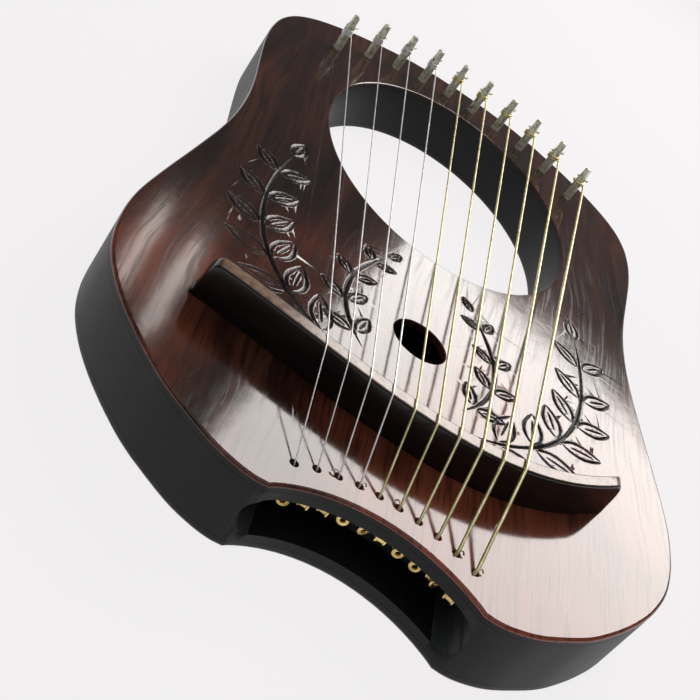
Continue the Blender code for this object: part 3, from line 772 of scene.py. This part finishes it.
def wound_end(wire, angle):
    """Helix of centre radius pin plus half a wire, rising one wire each turn, then a half turn up to
    the cross hole at the given angle, straight through it and out."""
    radius = PIN_RADIUS + wire / 2 + 0.00003
    low, high = COIL_LOW + wire / 2, COIL_HIGH - wire / 2
    turns = np.floor((high - low) / (wire * 1.03))
    t = np.linspace(0, turns, int(turns * 24) + 1)
    start = angle + np.pi / 2 - 2 * np.pi * turns
    helix = np.stack([radius * np.cos(start + 2 * np.pi * t), radius * np.sin(start + 2 * np.pi * t),
                      high - (turns - t) * wire * 1.03], 1)
    bend = np.linspace(0, 1, 12)[1:]
    rise = np.stack([radius * np.cos(angle + np.pi / 2 + bend * np.pi / 2),
                     radius * np.sin(angle + np.pi / 2 + bend * np.pi / 2),
                     high + (EYE_HEIGHT - high) * bend ** 1.5], 1)
    reach = np.array((-0.0029, -0.0024, 0.0, 0.0024, 0.0036, 0.0042))
    through = np.stack([reach * np.cos(angle), reach * np.sin(angle),
                        EYE_HEIGHT + np.array((0, 0, 0, 0, 0.0004, 0.0011))], 1)
    path = np.vstack([helix, rise[:-1], through])
    thick = np.full(len(path), wire / 2)
    thick[len(helix) + 2:] = min(wire, 0.0009) / 2
    return tube(path, thick, 10)


for i in range(10):
    number = "%02d" % (i + 1)
    points, faces = wound_end(WIRE[i], PIN_TURNS[i])
    points = turned(points, 0, pin_x[i], pin_y[i])
    place_piece("wound_end_" + number, make_mesh("wound_end_" + number, points, faces, 50),
                [steel_wire if i < 4 else bronze_wire], "pin_" + number,
                ["string_coil_" + number])

# ---- Strings: ten drawn tight from the ball ends in the slot, up through the front board, over the
# bridge and along to the pins, where the end laps the wound turns. Near the board each is locked by
# a few turns of its own wire.
BALL_RADIUS = 0.0022
bridge_x = string_row * 0.0372 * 2 * HALF_WIDTH
balls = np.c_[tail_x + tail_lean[:, 0] * 0.009, tail_y + tail_lean[:, 1] * 0.009, np.full(10, BALL_HEIGHT)]


def string_route(i):
    """Straight runs joined by short curved bends, each a quadratic curve between points set back
    from the corner, then an arc round the wound turns."""
    wire = WIRE[i]
    lap = PIN_RADIUS + 1.5 * wire + 0.00012
    up = mouths[i] - balls[i]
    up /= np.linalg.norm(up)
    over = BRIDGE_TOP + wire / 2 + 0.00003
    foot = bridge_face(bridge_x[i])
    end = np.array((pin_x[i] + lap, pin_y[i], COIL_LOW + wire / 2))
    lean = (end[0] - bridge_x[i]) / (end[1] - foot)
    corners = np.array((balls[i] + up * (BALL_RADIUS + wire / 2), mouths[i] + (0, 0, 0.0004 + wire / 2),
                        (bridge_x[i], foot + 0.0004, over),
                        (bridge_x[i] + lean * 0.0066, foot + 0.0066, over), end))
    cuts = (0, 0.0012, 0.0010, 0.0010, 0)
    t = np.linspace(0, 1, 6)[:, None]
    path = [corners[:1]]
    for k in (1, 2, 3):
        before = corners[k] - corners[k - 1]
        after = corners[k + 1] - corners[k]
        a = corners[k] - before / np.linalg.norm(before) * cuts[k]
        b = corners[k] + after / np.linalg.norm(after) * cuts[k]
        path.append((1 - t) ** 2 * a + 2 * t * (1 - t) * corners[k] + t ** 2 * b)
    start = path[-1][-1]
    path.append(start + (end - start) * np.linspace(0, 1, 30)[1:, None])
    bend = np.linspace(0, np.radians(70), 10)[1:]
    path.append(np.stack([pin_x[i] + lap * np.cos(bend), pin_y[i] + lap * np.sin(bend),
                          end[2] + 0.0004 * bend], 1))
    return np.vstack(path), up


def twist(path_start, ahead, wire, length):
    """Close turns of fine wire round the string: a helix of the string's radius plus the wire's."""
    thin = 0.00028
    t = np.linspace(0, length / (2.1 * thin), 120)
    side = np.cross(ahead, (1, 0, 0))
    side /= np.linalg.norm(side)
    other = np.cross(ahead, side)
    radius = wire / 2 + thin * 0.9
    path = (path_start + ahead * (t * 2.1 * thin)[:, None] + radius * np.cos(2 * np.pi * t)[:, None] * side
            + radius * np.sin(2 * np.pi * t)[:, None] * other)
    return tube(path, thin, 5, (0.9, 0.1, 0.3))


TIPS = {2: (-0.0030, 0.0002), 3: (0.0022, 0.0004), 5: (-0.0022, 0.0016), 8: (0.0024, 0.0004),
        9: (0.0026, 0.0010)}
for i in range(10):
    number = "%02d" % (i + 1)
    path, up = string_route(i)
    parts = [tube(path, WIRE[i] / 2, 10, (1, 0, 0))]
    parts.append(twist(balls[i] + up * (BALL_RADIUS + WIRE[i]), up, WIRE[i], 0.0035))
    if i in TIPS:
        side, ahead = TIPS[i]
        t = np.linspace(0, 1, 9)[:, None]
        tip = mouths[i] + (0, 0, 0.0006) + t * (side, ahead, 0.0) + np.sin(t * np.pi) * (0, 0.0006, 0.0009)
        parts.append(tube(tip, 0.00030, 6))
    points, faces = join(parts)
    place_piece("wire_" + number, make_mesh("wire_" + number, points, faces, 50),
                [steel_wire if i < 4 else bronze_wire], "harp",
                ["string_" + number])

# ---- Ball ends: small turned brass bushes, flanged at both ends, caught against the slot's roof. Each bush lies at the angle it was pulled up to.
BALL_PROFILE = np.array((  # along the bore, out from it, in mm
    (2.1, 1.00), (2.1, 1.9), (1.98, 2.12), (1.80, 2.2), (1.35, 2.2), (1.20, 2.1), (1.10, 1.85), (0.7, 1.76),
    (-0.7, 1.76), (-1.10, 1.85), (-1.20, 2.1), (-1.35, 2.2), (-1.80, 2.2), (-1.98, 2.12), (-2.1, 1.9),
    (-2.1, 1.00), (-1.9, 0.85), (1.9, 0.85))) / 1000
BALL_TURNS = np.radians((0, 84, 78, 0, 24, 96, 4, -6, 34, 74))


def bush():
    """Profile spun round a level axis that points along -Y before it is turned about the upright."""
    count = len(BALL_PROFILE)
    angle = np.arange(36) * 2 * np.pi / 36
    along, out = BALL_PROFILE.T
    local = np.stack([out[None] * np.cos(angle)[:, None], np.repeat(-along[None], 36, 0),
                      out[None] * np.sin(angle)[:, None]], -1).reshape(-1, 3)
    return local, tube_faces(36, count, closed=True)


ball_brass = wire_metal("ball_brass", (0.30, 0.21, 0.06), (0.80, 0.62, 0.27), 0.26, 0)
for i in range(10):
    number = "%02d" % (i + 1)
    points, faces = bush()
    points = turned(points + (0, 0, BALL_HEIGHT), BALL_TURNS[i], balls[i, 0], balls[i, 1])
    place_piece("bush_" + number, make_mesh("bush_" + number, points, faces, 40), [ball_brass], "harp",
                ["ball_end_" + number])
